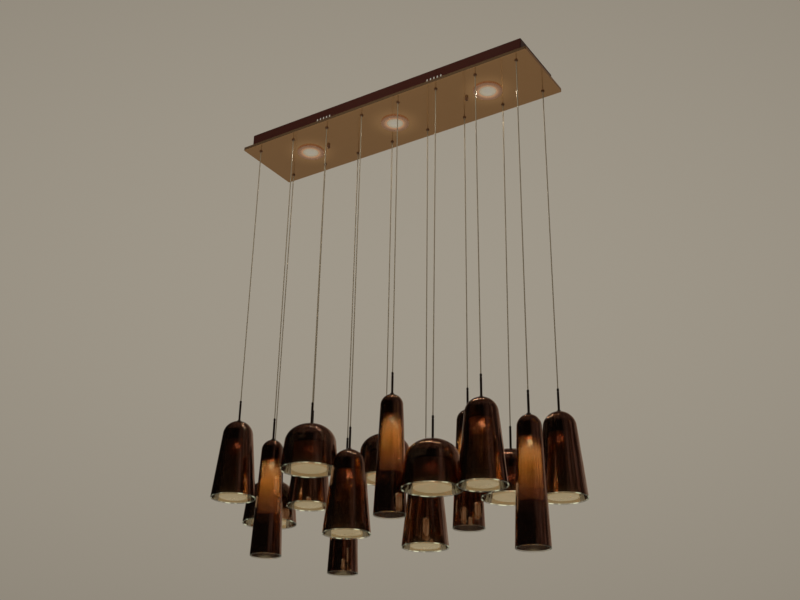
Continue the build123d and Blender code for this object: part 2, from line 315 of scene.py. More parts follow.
class Effects:
    """Shader node groups that several finishes share, each built once."""

    def __init__(self) -> None:
        """Builds every effect."""
        self.handling = self._handling()
        self.grain = self._grain()
        self.edges = self._edges()
        self.streaks = self._streaks()

    @staticmethod
    def _start(name: str, inputs: dict[str, Any], outputs: Sequence[str]) -> tuple[Graph, Any, Any]:
        """Starts a node group.

        Args:
            name: Name of the group.
            inputs: Default of each input, a number or a vector.
            outputs: Names of its outputs, all of them numbers.

        Returns:
            Its graph, the sockets that come in and the sockets to fill.
        """
        tree = bpy.data.node_groups.new(name, "ShaderNodeTree")
        for key, default in inputs.items():
            kind = "NodeSocketVector" if isinstance(default, tuple) else "NodeSocketFloat"
            tree.interface.new_socket(key, in_out="INPUT", socket_type=kind).default_value = default
        for key in outputs:
            tree.interface.new_socket(key, in_out="OUTPUT", socket_type="NodeSocketFloat")
        graph = Graph(tree)
        return graph, graph.node("NodeGroupInput").outputs, graph.node("NodeGroupOutput").inputs

    def _handling(self) -> bpy.types.NodeTree:
        """Soft smears and faint spots that handling leaves, as a mask and as a roughness over a base.

        Returns:
            The node group.
        """
        inputs = {"Scale": 9.0, "Amount": 0.05, "Base": 0.0}
        graph, given, result = self._start("handling_marks", inputs, ("Mask", "Roughness"))
        smears = graph.remap(graph.noise(given["Scale"], 4.0, 0.62), 0.42, 0.7, 0.0, 1.0)
        finer = graph.math("MULTIPLY", given["Scale"], 7.0)
        spots = graph.remap(graph.noise(finer, 2.0, 0.5), 0.35, 0.65, 0.5, 1.0)
        mask = graph.math("MULTIPLY", smears, spots)
        graph.fill(result, Mask=mask, Roughness=graph.math("MULTIPLY_ADD", mask, given["Amount"], given["Base"]))
        return graph.tree

    def _grain(self) -> bpy.types.NodeTree:
        """Drawn or brushed lines along an axis, as a value from 0 to 1 and a coarser band value.

        Returns:
            The node group.
        """
        inputs = {"Stretch": (1.0, 1.0, 1.0), "Scale": 900.0}
        graph, given, result = self._start("drawn_grain", inputs, ("Lines", "Bands"))
        drawn = graph.scaled(graph.place(), given["Stretch"])
        lines = graph.noise(given["Scale"], 3.0, 0.65, drawn)
        bands = graph.noise(graph.math("MULTIPLY", given["Scale"], 0.12), 2.0, 0.5, drawn)
        graph.fill(result, Lines=lines, Bands=bands)
        return graph.tree

    def _edges(self) -> bpy.types.NodeTree:
        """Edges that rub bare, as a mask.

        Returns:
            The node group.
        """
        graph, given, result = self._start("edge_wear", {"Start": 0.53, "Scale": 160.0}, ("Mask",))
        point = graph.outputs("ShaderNodeNewGeometry")["Pointiness"]
        broken = graph.noise(given["Scale"], 3.0, 0.6)
        rough = graph.math("ADD", point, graph.math("MULTIPLY", graph.math("SUBTRACT", broken, 0.5), 0.05))
        over = graph.math("SUBTRACT", rough, given["Start"])
        graph.fill(result, Mask=graph.math("MULTIPLY", over, 14.0, clamp=True))
        return graph.tree

    def _streaks(self) -> bpy.types.NodeTree:
        """Soft upright ribs and drag lines of blown glass, which meet at the crown, as two values.

        Returns:
            The node group.
        """
        graph, given, result = self._start("glass_streaks", {"Ribs": 6.0, "Drag": 4.0}, ("Fine", "Broad"))
        axes = graph.split(graph.place())
        square = graph.math("ADD", graph.math("POWER", axes["X"], 2.0), graph.math("POWER", axes["Y"], 2.0))
        never_zero = graph.math("SQRT", graph.math("ADD", square, 0.0000001))
        sides = [graph.math("DIVIDE", axes[axis], never_zero) for axis in "XY"]
        drag = graph.math("MULTIPLY", axes["Z"], given["Drag"])
        around = graph.outputs("ShaderNodeCombineXYZ", *sides, drag)[0]
        fine = graph.noise(graph.math("MULTIPLY", given["Ribs"], 1.7), 2.0, 0.6, around)
        graph.fill(result, Fine=fine, Broad=graph.noise(given["Ribs"], 2.0, 0.5, around))
        return graph.tree


# Finishes


class Surface(Graph):
    """The graph of a new material with its one shader."""

    def __init__(self, name: str, effects: Optional[Effects] = None) -> None:
        """Makes the material.

        Args:
            name: Its name.
            effects: The shared effects.
        """
        self.material = bpy.data.materials.new(name)
        self.material.use_nodes = True
        self.effects = effects
        super().__init__(self.material.node_tree)

    def shade(self, **values: Any) -> None:
        """Feeds the shader's inputs, named with underscores for spaces."""
        self.fill(self.tree.nodes["Principled BSDF"].inputs, **values)


@dataclass(frozen=True)
class Finish:
    """A finish: its name, the plain values of its shader, and its slot where that has another name."""

    name: str
    base: Colour
    roughness: float
    slot: str = ""

    def make(self, effects: Effects) -> bpy.types.Material:
        """Builds the material.

        Args:
            effects: The shared effects.

        Returns:
            The material.
        """
        surface = Surface(self.name, effects)
        surface.shade(Base_Color=self.base, Roughness=self.roughness)
        self.pattern(surface)
        return surface.material

    def pattern(self, graph: Surface) -> None:
        """Adds what varies over the surface.

        Args:
            graph: The material's graph.
        """


@dataclass(frozen=True)
class PolishedPlate(Finish):
    """Polished champagne metal with a fine brush along the canopy."""

    shade_tone: Colour = (0.54, 0.32, 0.16)
    handled_tone: Colour = (0.55, 0.36, 0.20)
    spill: Colour = (0.055, 0.032, 0.013)
    spill_start: float = 0.035
    spill_end: float = 0.11

    def pattern(self, graph: Surface) -> None:
        """Adds brush lines, handling marks, a slow drift of tone and the downlights' spill."""
        grain = graph.group(graph.effects.grain, Stretch=(0.012, 1.0, 1.0), Scale=1500.0)
        rough = graph.math("MULTIPLY_ADD", grain["Lines"], 0.06, self.roughness - 0.03)
        marks = graph.group(graph.effects.handling, Scale=5.0, Amount=0.06, Base=rough)
        tone = graph.veil(self.base, self.shade_tone, grain["Bands"], 0.35)
        graph.shade(
            Metallic=0.9,
            Base_Color=graph.veil(tone, self.handled_tone, marks["Mask"], 0.10),
            Roughness=marks["Roughness"],
            Normal=graph.bump(grain["Lines"], 0.12, 0.00004),
            Emission_Color=graph.spill(self.spill, self.spill_start, self.spill_end, 0.0),
            Emission_Strength=1.0,
        )


@dataclass(frozen=True)
class Lacquer(Finish):
    """Glossy paint on folded steel, with a faint orange peel and rubbed edges."""

    drift_tone: Colour = (0.036, 0.0095, 0.006)
    worn: Colour = (0.034, 0.0088, 0.0055)

    def pattern(self, graph: Surface) -> None:
        """Adds orange peel, handling marks and edges rubbed paler."""
        marks = graph.group(graph.effects.handling, Scale=7.0, Amount=0.12, Base=self.roughness)
        edge = graph.group(graph.effects.edges, Start=0.54, Scale=240.0)["Mask"]
        tone = graph.veil(self.base, self.drift_tone, graph.noise(14.0, 3.0), 0.35)
        peel = graph.noise(420.0, 2.0)
        graph.shade(
            Coat_Weight=0.3, Coat_Roughness=0.06,
            Base_Color=graph.mix(edge, tone, self.worn),
            Roughness=marks["Roughness"],
            Normal=graph.bump(peel, 0.10, 0.0002),
        )


@dataclass(frozen=True)
class Metal(Finish):
    """Plain or plated metal with drawn lines, spots of tarnish and rubbed edges."""

    stretch: Point = (1.0, 1.0, 0.05)
    grain_scale: float = 900.0
    relief: float = 0.12
    tarnish: Colour = (0.10, 0.08, 0.06)
    tarnish_share: float = 0.25
    bright: Colour = (0.75, 0.70, 0.62)
    bright_share: float = 0.5
    metallic: float = 1.0

    def pattern(self, graph: Surface) -> None:
        """Adds drawn lines, tarnish in spots and bright edges."""
        grain = graph.group(graph.effects.grain, Stretch=self.stretch, Scale=self.grain_scale)
        rough = graph.math("MULTIPLY_ADD", grain["Lines"], 0.12, self.roughness - 0.06)
        marks = graph.group(graph.effects.handling, Scale=22.0, Amount=0.14, Base=rough)
        edge = graph.group(graph.effects.edges, Start=0.56, Scale=500.0)["Mask"]
        tone = graph.veil(self.base, self.tarnish, marks["Mask"], self.tarnish_share)
        graph.shade(
            Metallic=self.metallic,
            Base_Color=graph.veil(tone, self.bright, edge, self.bright_share),
            Roughness=marks["Roughness"],
            Normal=graph.bump(grain["Lines"], self.relief, 0.00006),
        )


@dataclass(frozen=True)
class LitMetal(Metal):
    """Metal round a lamp, whose inner edge catches its light."""

    spill: Colour = (0.20, 0.115, 0.06)
    spill_start: float = 0.0255
    spill_end: float = 0.040

    def pattern(self, graph: Surface) -> None:
        """Adds the lamp's light to what plain metal has."""
        super().pattern(graph)
        lit = graph.spill(self.spill, self.spill_start, self.spill_end, 0.12)
        graph.shade(Emission_Color=lit, Emission_Strength=1.0)


@dataclass(frozen=True)
class Moulded(Finish):
    """Moulded plastic with a spark-eroded texture."""

    second: Colour = (0.1, 0.1, 0.1)
    texture_scale: float = 1600.0

    def pattern(self, graph: Surface) -> None:
        """Adds the mould's texture, a drift of tone and handling marks."""
        marks = graph.group(graph.effects.handling, Scale=30.0, Amount=0.15, Base=self.roughness)
        drift = graph.noise(60.0, 3.0, 0.6)
        texture = graph.noise(self.texture_scale, 2.0, 0.6)
        graph.shade(
            Base_Color=graph.veil(self.base, self.second, drift, 0.5),
            Roughness=marks["Roughness"],
            Normal=graph.bump(texture, 0.25, 0.0001),
        )


@dataclass(frozen=True)
class CableSheath(Finish):
    """A thin cable: a clear sheath over a twisted metal braid."""

    braid_tone: Colour = (0.38, 0.30, 0.20)
    dull_tone: Colour = (0.07, 0.06, 0.045)
    twist: float = 1900.0

    def pattern(self, graph: Surface) -> None:
        """Adds the braid's turns, seen through the sheath."""
        axes = graph.split(graph.place())
        turn = graph.math("ARCTAN2", axes["Y"], axes["X"])
        braid = graph.wave(graph.math("MULTIPLY_ADD", axes["Z"], self.twist, turn))
        drift = graph.noise(25.0, 3.0, 0.6)
        tone = graph.veil(self.base, self.braid_tone, braid, 0.45)
        graph.shade(
            Metallic=0.1, Coat_Weight=0.2, Coat_Roughness=0.45,
            Base_Color=graph.veil(tone, self.dull_tone, drift, 0.3),
            Roughness=graph.math("MULTIPLY_ADD", braid, 0.1, self.roughness - 0.05),
            Normal=graph.bump(braid, 0.3, 0.0001),
        )


@dataclass(frozen=True)
class LitLens(Finish):
    """A moulded prismatic lens with a light behind it."""

    strength: float = 0.40
    groove_tone: Colour = (0.30, 0.24, 0.16)
    ring_turns: float = 60.0
    glow: Stops = (
        (0.0, (0.60, 0.56, 0.48)),
        (0.34, (0.62, 0.57, 0.47)),
        (0.55, (0.66, 0.59, 0.45)),
        (0.80, (0.60, 0.50, 0.34)),
        (0.94, (0.36, 0.26, 0.16)),
    )

    def pattern(self, graph: Surface) -> None:
        """Adds the lens's rings, and light that falls off from its middle."""
        axes = graph.split(graph.place())
        out = graph.math("DIVIDE", graph.hypot(axes["X"], axes["Y"]), LENS_RADIUS)
        rings = graph.wave(graph.math("MULTIPLY", out, self.ring_turns))
        light = graph.ramp(out, self.glow, "EASE")
        graph.shade(
            Emission_Color=graph.veil(light, self.groove_tone, rings, 0.30),
            Emission_Strength=self.strength,
            Normal=graph.bump(rings, 0.4, 0.0006),
        )


@dataclass(frozen=True)
class SmokedGlass(Finish):
    """Mirror-smoked glass that passes a little brown light."""

    slot: str = "smoked_glass"
    mirror: float = 0.62
    deep: Colour = (0.20, 0.085, 0.06)
    deep_share: float = 0.40
    # Colour of the paler crown, painted light that brightens its reflections.
    pale: Colour = (0.56, 0.38, 0.29)
    painted_crown_share: float = 0.5
    relief: float = 0.25
    crown_relief: float = 4.0
    tint: Colour = (1.0, 0.72, 0.58)
    coat: float = 1.0

    def pattern(self, graph: Surface) -> None:
        """Adds ribs that darken the smoke, a paler crown painted in to brighten its reflections, and soft ripples."""
        streaks = graph.group(graph.effects.streaks, Ribs=6.0, Drag=1.2)
        marks = graph.group(graph.effects.handling, Scale=14.0, Amount=0.02, Base=self.roughness)
        height = graph.split(graph.place())["Z"]
        tone = graph.mix(graph.remap(streaks["Fine"], 0.44, 0.58, 0.0, self.deep_share), self.base, self.deep)
        ripple = graph.math("MULTIPLY_ADD", streaks["Fine"], 0.5, streaks["Broad"])
        ripple = graph.math("MULTIPLY", ripple, graph.remap(height, -0.05, 0.0, 1.0, self.crown_relief))
        graph.shade(
            Metallic=self.mirror, Transmission_Weight=1.0, IOR=1.5, Specular_Tint=self.tint, Coat_IOR=2.0,
            Coat_Roughness=0.02,
            Coat_Weight=graph.remap(streaks["Fine"], 0.40, 0.56, self.coat, 0.0),
            # Painted light: the top of the glass is paler, which brightens and whitens its reflections.
            Base_Color=graph.mix(graph.remap(height, -0.030, 0.0, 0.0, self.painted_crown_share), tone, self.pale),
            Roughness=marks["Roughness"],
            Normal=graph.bump(ripple, self.relief, 0.0022),
        )


@dataclass(frozen=True)
class RimGlass(Finish):
    """The fire-polished edge of the glass, where the smoke ends."""

    slot: str = "smoked_glass"
    # Colour of the rim's painted glow.
    painted_rim_glow: Colour = (0.24, 0.25, 0.17)

    def pattern(self, graph: Surface) -> None:
        """Adds the ripple of a melted edge, and a painted glow in spots along the rim, as if the lamp's light left the
        glass there.
        """
        ripple = graph.noise(140.0, 2.0)
        # Painted glints: the rim glows in spots, weaker on the long tubes' rims far below the lamp.
        glint = graph.remap(graph.noise(45.0, 1.0), 0.52, 0.62, 0.06, 1.0)
        near_lamp = graph.remap(graph.split(graph.place())["Z"], -0.30, -0.24, 0.15, 1.0)
        graph.shade(
            Transmission_Weight=1.0, IOR=1.5,
            Roughness=graph.math("MULTIPLY_ADD", ripple, 0.06, self.roughness),
            Normal=graph.bump(ripple, 0.2, 0.0006),
            Emission_Color=graph.mix(graph.math("MULTIPLY", glint, near_lamp), BLACK, self.painted_rim_glow),
            Emission_Strength=1.0,
        )


@dataclass(frozen=True)
class OpalCup(Finish):
    """Opal plastic with the lamp's light inside it, by depth below the top of the glass."""

    slot: str = "opal_diffuser"
    depth: float = 0.3
    light: Stops = ()
    strength: float = 1.0
    cloud_tone: Colour = (0.86, 0.78, 0.62)
    floor_tone: Colour = (0.24, 0.21, 0.17)

    def pattern(self, graph: Surface) -> None:
        """Adds the light that fills the cup, a little cloudiness and a soft texture."""
        cloud = graph.noise(40.0, 3.0, 0.55)
        down = graph.math("DIVIDE", graph.split(graph.place())["Z"], -self.depth)
        tone = graph.veil(self.base, self.cloud_tone, cloud, 0.3)
        texture = graph.noise(900.0, 2.0)
        graph.shade(
            Transmission_Weight=0.55, IOR=1.45,
            Roughness=graph.math("MULTIPLY_ADD", cloud, 0.15, self.roughness - 0.07),
            Base_Color=graph.mix(graph.remap(down, 0.988, 0.996, 0.0, 1.0), tone, self.floor_tone),
            Emission_Color=graph.veil(graph.ramp(down, self.light), BLACK, cloud, 0.16),
            Emission_Strength=self.strength,
            Normal=graph.bump(texture, 0.08, 0.0001),
        )


@dataclass(frozen=True)
class Filament(Finish):
    """The frosted envelope of a lit capsule lamp."""

    base: Colour = (0.9, 0.8, 0.6)
    roughness: float = 0.4
    slot: str = "opal_diffuser"
    glow: Colour = (1.0, 0.55, 0.22)
    strength: float = 12.0
    end_tone: Colour = (0.05, 0.015, 0.005)
    middle: float = 0.0725

    def pattern(self, graph: Surface) -> None:
        """Adds a hot middle that fades to both ends."""
        away = graph.math("ABSOLUTE", graph.math("ADD", graph.split(graph.place())["Z"], self.middle))
        heat = graph.remap(away, 0.002, 0.010, 1.0, 0.0)
        frost = graph.noise(700.0, 2.0)
        graph.shade(
            Emission_Color=graph.mix(heat, self.end_tone, self.glow),
            Emission_Strength=self.strength,
            Normal=graph.bump(frost, 0.2, 0.0001),
        )


# Glass shapes


@dataclass(frozen=True)
class GlassForm:
    """Sizes of one glass shape and of the opal cup inside it."""

    crown_radius: float
    crown_height: float
    rim_radius: float
    height: float
    cup_top: float
    cup_bottom: float
    cup_depth: float

    def face(self, wall: float, crown_steps: int = 26, side_steps: int = 8) -> Profile:
        """The outline of one face, from the stem hole down to the rim.

        Args:
            wall: How far the face lies inside the outer one.
            crown_steps: Number of steps round the crown.
            side_steps: Number of steps down the side.

        Returns:
            Points as radius and depth.
        """
        radius, rise, rim = self.crown_radius - wall, self.crown_height - wall, self.rim_radius - wall
        drop = (self.height - self.crown_height) * radius / rise
        start = math.acos(radius / math.hypot(rim, drop)) - math.atan2(drop, rim)
        top = math.acos(STEM_HOLE / radius)
        points = []
        for step in range(crown_steps + 1):
            angle = top + (start - top) * step / crown_steps
            points.append((radius * math.cos(angle), self.crown_height - rise * math.sin(angle)))
        side_radius, side_depth = points[-1]
        for step in range(1, side_steps + 1):
            share = step / side_steps
            points.append((side_radius + (rim - side_radius) * share, side_depth + (self.height - side_depth) * share))
        return points


class Shape(Enum):
    """The three glass shapes of the light."""

    TUBE = GlassForm(0.030, 0.030, 0.042, 0.317, 0.024, 0.0295, 0.212)
    BELL = GlassForm(0.043, 0.042, 0.0625, 0.222, 0.029, 0.039, 0.219)
    DOME = GlassForm(0.070, 0.054, 0.078, 0.128, 0.044, 0.048, 0.125)


# Meshes


def lathe(
    name: str, profile: Profile, sharp: Iterable[int] = (), segments: int = 96, bands: Sequence[int] = ()
) -> Mesh:
    """Turns a closed profile about the Z axis.

    Args:
        name: Name of the mesh.
        profile: Points as radius and depth below the origin, the last one joined to the first.
        sharp: Numbers of the points where the surface has an edge.
        segments: Number of steps round the axis.
        bands: Number of the material of each profile step, where it isn't the first one.

    Returns:
        The mesh, shaded smooth but for its edges.
    """
    vertices, rows = [], []
    for radius, depth in profile:
        if radius < 1e-7:
            rows.append([len(vertices)] * segments)
            vertices.append((0.0, 0.0, -depth))
            continue
        rows.append(list(range(len(vertices), len(vertices) + segments)))
        for step in range(segments):
            angle = 2 * math.pi * step / segments
            vertices.append((radius * math.cos(angle), radius * math.sin(angle), -depth))
    faces, marks = [], []
    for index, one in enumerate(rows):
        other = rows[(index + 1) % len(rows)]
        for step in range(segments):
            after = (step + 1) % segments
            corners = [one[step], other[step], other[after], one[after]]
            kept = [v for number, v in enumerate(corners) if v not in corners[:number]]
            if len(kept) > 2:
                faces.append(kept)
                marks.append(bands[index] if bands else 0)
    mesh = bpy.data.meshes.new(name)
    mesh.from_pydata(vertices, [], faces)
    mesh.polygons.foreach_set("material_index", marks)
    mesh.shade_smooth()
    edged = set()
    for row in (rows[number] for number in sharp):
        edged.update(frozenset((row[step], row[(step + 1) % segments])) for step in range(segments))
    for edge in mesh.edges:
        if frozenset(edge.vertices) in edged:
            edge.use_edge_sharp = True
    mesh.validate()
    return mesh


def rounded(corners: Sequence[Point], steps: int = 4) -> tuple[Profile, list[int]]:
    """Rounds the corners of a profile.

    Args:
        corners: Radius, depth and rounding of each corner, in order.
        steps: Number of steps in a rounding.

    Returns:
        The points, and the numbers of those that stay sharp.
    """
    points: Profile = []
    sharp = []
    for index, (radius, depth, turn) in enumerate(corners):
        here = Vector((radius, depth))
        if turn <= 0:
            sharp.append(len(points))
            points.append((radius, depth))
            continue
        before = (Vector(corners[index - 1][:2]) - here).normalized()
        after = (Vector(corners[(index + 1) % len(corners)][:2]) - here).normalized()
        half = before.angle(after) / 2
        back = turn / math.tan(half)
        middle = here + (before + after).normalized() * turn / math.sin(half)
        first, last = here + before * back - middle, here + after * back - middle
        for step in range(steps + 1):
            share = step / steps
            arm = (first * (1 - share) + last * share).normalized() * turn
            points.append(tuple(middle + arm))
    return points, sharp


@dataclass
class Palette:
    """The materials, made once and found by name."""

    finishes: tuple[Finish, ...]

    def __post_init__(self) -> None:
        """Builds the shared effects and every material."""
        effects = Effects()
        self.made = {finish.name: finish.make(effects) for finish in self.finishes}
        self.slots = {finish.name: finish.slot or finish.name for finish in self.finishes}

    def dress(self, piece: bpy.types.Object, *names: str) -> None:
        """Gives a piece's mesh its materials, where an earlier piece hasn't given them yet.

        Args:
            piece: The piece.
            *names: Names of the finishes, in the order of the mesh's materials.
        """
        if not piece.data.materials:
            for name in names:
                piece.data.materials.append(self.made[name])

    def paint(self, node: bpy.types.Object, name: str) -> None:
        """Gives a carried-over node its finish, in the material slots that it has."""
        for slot in node.material_slots:
            slot.material = self.made[name]


TUBE_LIGHT: Stops = (
    (0.28, (0.02, 0.008, 0.0025)),
    (0.32, (0.03, 0.011, 0.003)),
    (0.354, (0.15, 0.056, 0.015)),
    (0.39, (0.50, 0.25, 0.07)),
    (0.43, (0.72, 0.46, 0.17)),
    (0.50, (0.70, 0.38, 0.10)),
    (0.60, (0.54, 0.26, 0.047)),
    (0.69, (0.32, 0.155, 0.027)),
    (0.775, (0.24, 0.10, 0.028)),
    (0.86, (0.15, 0.062, 0.024)),
    (0.947, (0.075, 0.031, 0.018)),
    (0.985, (0.030, 0.015, 0.011)),
    (1.0, (0.008, 0.003, 0.0015)),
)


def cup_light(*places: float) -> Stops:
    """The light in a wide cup: dim sides, a lit band above the floor and a brighter floor."""
    side, band = (0.03, 0.012, 0.006), (0.11, 0.080, 0.042)
    return tuple(zip(places, (side, (0.02, 0.01, 0.005), (0.03, 0.02, 0.008), band, band, (0.195, 0.155, 0.085))))


FINISHES: tuple[Finish, ...] = (
    PolishedPlate("champagne_plate", (0.62, 0.375, 0.195), 0.11),
    Lacquer("burgundy_lacquer", (0.026, 0.0065, 0.0040), 0.30, "burgundy_paint"),
    Metal("zinc_steel", (0.60, 0.60, 0.58), 0.38, stretch=(0.05, 1.0, 1.0), tarnish=(0.34, 0.34, 0.33)),
    Metal("dark_bronze", (0.13, 0.060, 0.030), 0.34, bright=(0.30, 0.17, 0.10), metallic=0.5),
    LitMetal(
        "rose_copper", (0.90, 0.56, 0.42), 0.26,
        stretch=(1.0, 1.0, 1.0), grain_scale=700.0, tarnish=(0.42, 0.20, 0.12), bright=(0.95, 0.66, 0.50),
    ),
    Metal(
        "cast_module", (0.42, 0.42, 0.43), 0.55,
        stretch=(1.0, 1.0, 1.0), grain_scale=1400.0, relief=0.4, tarnish=(0.25, 0.25, 0.26),
    ),
    Metal(
        "dark_anodised", (0.045, 0.030, 0.022), 0.32,
        bright=(0.30, 0.20, 0.13), tarnish=(0.02, 0.014, 0.01), metallic=0.9,
    ),
    Moulded("black_nylon", (0.018, 0.018, 0.018), 0.5, second=(0.03, 0.03, 0.03)),
    Moulded("driver_case", (0.62, 0.62, 0.60), 0.5, second=(0.52, 0.52, 0.50)),
    Moulded("terminal_nylon", (0.70, 0.68, 0.62), 0.45, second=(0.60, 0.58, 0.52)),
    CableSheath("cable_sheath", (0.18, 0.15, 0.10), 0.35),
    LitLens("lit_lens", (0.30, 0.28, 0.24), 0.2),
    SmokedGlass("smoked_glass", (0.45, 0.25, 0.18), 0.025),
    SmokedGlass(
        "inner_mirror", (0.94, 0.92, 0.84), 0.03,
        # Its paler crown is painted light, as on the outer face.
        mirror=0.82, deep=(0.86, 0.83, 0.74), pale=(0.88, 0.82, 0.72), relief=0.12, tint=(1.0, 1.0, 0.96), coat=0.0,
    ),
    RimGlass("rim_glass", (0.90, 0.90, 0.84), 0.03),
    OpalCup(
        "opal_tube", (0.93, 0.88, 0.76), 0.19,
        depth=Shape.TUBE.value.cup_depth, light=TUBE_LIGHT, strength=2.3,
    ),
    OpalCup(
        "opal_bell", (0.55, 0.48, 0.36), 0.28,
        depth=Shape.BELL.value.cup_depth, light=cup_light(0.27, 0.50, 0.92, 0.945, 0.991, 0.997),
    ),
    OpalCup(
        "opal_dome", (0.55, 0.48, 0.36), 0.4,
        depth=Shape.DOME.value.cup_depth, light=cup_light(0.46, 0.70, 0.84, 0.885, 0.988, 0.996),
    ),
    Filament("capsule_tube", glow=(0.70, 0.95, 0.70), strength=600.0),
    Filament("capsule_bell", glow=(1.0, 0.36, 0.20), strength=22.0),
    Filament("capsule_dome", glow=(1.0, 0.32, 0.18), strength=16.0),
    Filament("capsule_bright", glow=(1.0, 0.52, 0.32), strength=240.0),
)


# The pendants


@dataclass
class Pendant:
    """One pendant: a cable, the rod and collar over the glass, the glass and the lamp inside it."""

    name: str
    pivot: Vector
    palette: Palette
    cable_radius: float = 0.0015
    stem_radius: float = 0.003
    stem_length: float = 0.062
    collar_radius: float = 0.006
    collar_height: float = 0.003
    shank_length: float = 0.008
    glass: float = 0.003
    rim_round: float = 0.0013
    rim_steps: int = 6
    clear_edge: float = 0.0024
    rim_zone: float = 0.012
    plumb_within: float = 0.0002
    neck_radius: float = 0.006
    body_radius: float = 0.016
    body_top: float = 0.020
    body_bottom: float = 0.052
    groove: float = 0.0008
    groove_start: float = 0.026
    groove_pitch: float = 0.0052
    grooves: int = 4
    holder_depth: float = 0.057
    capsule_radius: float = 0.007
    capsule_straight: float = 0.015
    cup_wall: float = 0.0015
    cup_floor: float = 0.002
    bright: tuple[str, ...] = ("front_4", "front_7")

    def __post_init__(self) -> None:
        """Works out how the pendant hangs, from its glass in the frame."""
        low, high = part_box(self.name + "_shade")
        rim = (high.y - low.y) / 2
        self.shape = min(Shape, key=lambda shape: abs(shape.value.rim_radius - rim))
        self.form: GlassForm = self.shape.value
        aside = self._aside(low)
        height = low.z + self.form.rim_radius * abs(aside) / (self.pivot.z - low.z)
        foot = Vector((self.pivot.x + aside, self.pivot.y, height))
        self.down = (foot - self.pivot).normalized()
        self.crown = foot - self.down * self.form.height
        turn = Vector((0, 0, -1)).rotation_difference(self.down)
        self.place = Matrix.Translation(self.crown) @ turn.to_matrix().to_4x4()

    def _aside(self, low: Vector) -> float:
        """How far the rim hangs beside its pivot, along the canopy.

        Args:
            low: Lowest corner of the glass.

        Returns:
            The offset in metres.
        """
        shade = bpy.data.objects[self.name + "_shade"].data
        rim = [v.co.x for v in shade.vertices if v.co.z < low.z + self.rim_zone]
        offset = (min(rim) + max(rim)) / 2 - self.pivot.x
        return 0.0 if abs(offset) < self.plumb_within else offset

    @property
    def cable_length(self) -> float:
        """Length of the cable from its pivot to the rod."""
        return (self.crown - self.pivot).length - self.stem_length

    @property
    def seat_depth(self) -> float:
        """Depth of the glass's inner face where the holder's neck meets it."""
        radius, rise = self.form.crown_radius - self.glass, self.form.crown_height - self.glass
        return self.form.crown_height - rise * math.sqrt(1 - (self.neck_radius / radius) ** 2)

    def build(self) -> None:
        """Makes every piece, and hides the CAD's own pieces in their place."""
        kind = self.shape.name.lower()
        capsule = "capsule_bright" if self.name in self.bright else "capsule_" + kind
        cable = self.make_cable()
        glass = self.add("glass", kind + "_glass", self.glass_mesh, "smoked_glass", "rim_glass", "inner_mirror")
        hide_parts(self.name + "_cable")
        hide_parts(self.name + "_shade")
        parts = [
            self.add("stem", "stem", self.stem_mesh, "dark_anodised"),
            self.add("collar", kind + "_collar", self.collar_mesh, "dark_anodised"),
            self.add("holder", kind + "_holder", self.holder_mesh, "dark_anodised"),
            self.add("capsule", capsule, self.capsule_mesh, capsule),
            self.add("opal_cup", kind + "_opal_cup", self.cup_mesh, "opal_" + kind),
        ]
        for part in parts:
            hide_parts(self.name + "_lamp_unit")
        log.info("%s: %s, cable %.0f mm, %d pieces", self.name, kind, self.cable_length * 1000, len(parts) + 2)

    def add(self, part: str, shared: str, make: Callable[[str], Mesh], *finishes: str) -> bpy.types.Object:
        """Hangs a turned piece on the pendant.

        Args:
            part: Name of the piece.
            shared: Name of its mesh, which pendants share.
            make: What makes the mesh for the first of them, with the top of the glass at the origin.
            *finishes: Its finishes.

        Returns:
            The piece.
        """
        piece = linked(f"{self.name}_{part}", bpy.data.meshes.get(shared) or make(shared))
        piece.matrix_world = self.place
        self.palette.dress(piece, *finishes)
        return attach(piece, self.name)

    def make_cable(self) -> bpy.types.Object:
        """The cable: one smooth curve from its exit down to the rod.

        Returns:
            The curve object, which rides on the pendant.
        """
        length, run = self.cable_length, self.cable_radius * 12
        curve = bpy.data.curves.new(self.name + "_flex", "CURVE")
        curve.dimensions = "3D"
        curve.bevel_depth = self.cable_radius
        curve.bevel_resolution = 4
        curve.use_fill_caps = True
        spline = curve.splines.new("NURBS")
        spline.points.add(3)
        for point, along in zip(spline.points, (0.0, run, length - run, length)):
            point.co = (*(self.down * along), 1.0)
        spline.order_u = 3
        spline.use_endpoint_u = True
        spline.resolution_u = 12
        cable = linked(self.name + "_flex", curve)
        cable.location = self.pivot
        self.palette.dress(cable, "cable_sheath")
        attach(cable, self.name)
        return cable

    def glass_mesh(self, name: str) -> Mesh:
        """The glass: two smooth faces, a rounded rim and the hole for the collar's shank.

        Args:
            name: Name of the mesh.

        Returns:
            The mesh.
        """
        outer, inner = self.form.face(0.0), self.form.face(self.glass)
        slope = math.atan2(outer[-1][0] - outer[-2][0], outer[-1][1] - outer[-2][1])
        for face in (outer, inner):
            radius, depth = face.pop()
            for back in (self.clear_edge, self.rim_round):
                face.append((radius - back * math.sin(slope), depth - back * math.cos(slope)))
        arc = []
        for step in range(1, self.rim_steps):
            angle = math.radians(90 * step / self.rim_steps)
            arc.append((self.rim_round * (1 - math.cos(angle)), self.rim_round * math.sin(angle)))
        edge = [(outer[-1][0] - away, outer[-1][1] + down) for away, down in arc]
        edge += [(outer[-1][0] - self.rim_round, self.form.height), (inner[-1][0] + self.rim_round, self.form.height)]
        edge += [(inner[-1][0] + away, inner[-1][1] + down) for away, down in reversed(arc)]
        profile = outer + edge + inner[::-1]
        bands = [0] * (len(outer) - 2) + [1] * (len(edge) + 3) + [2] * (len(inner) - 2) + [0]
        return lathe(name, profile, segments=128, sharp=(0, len(profile) - 1), bands=bands)

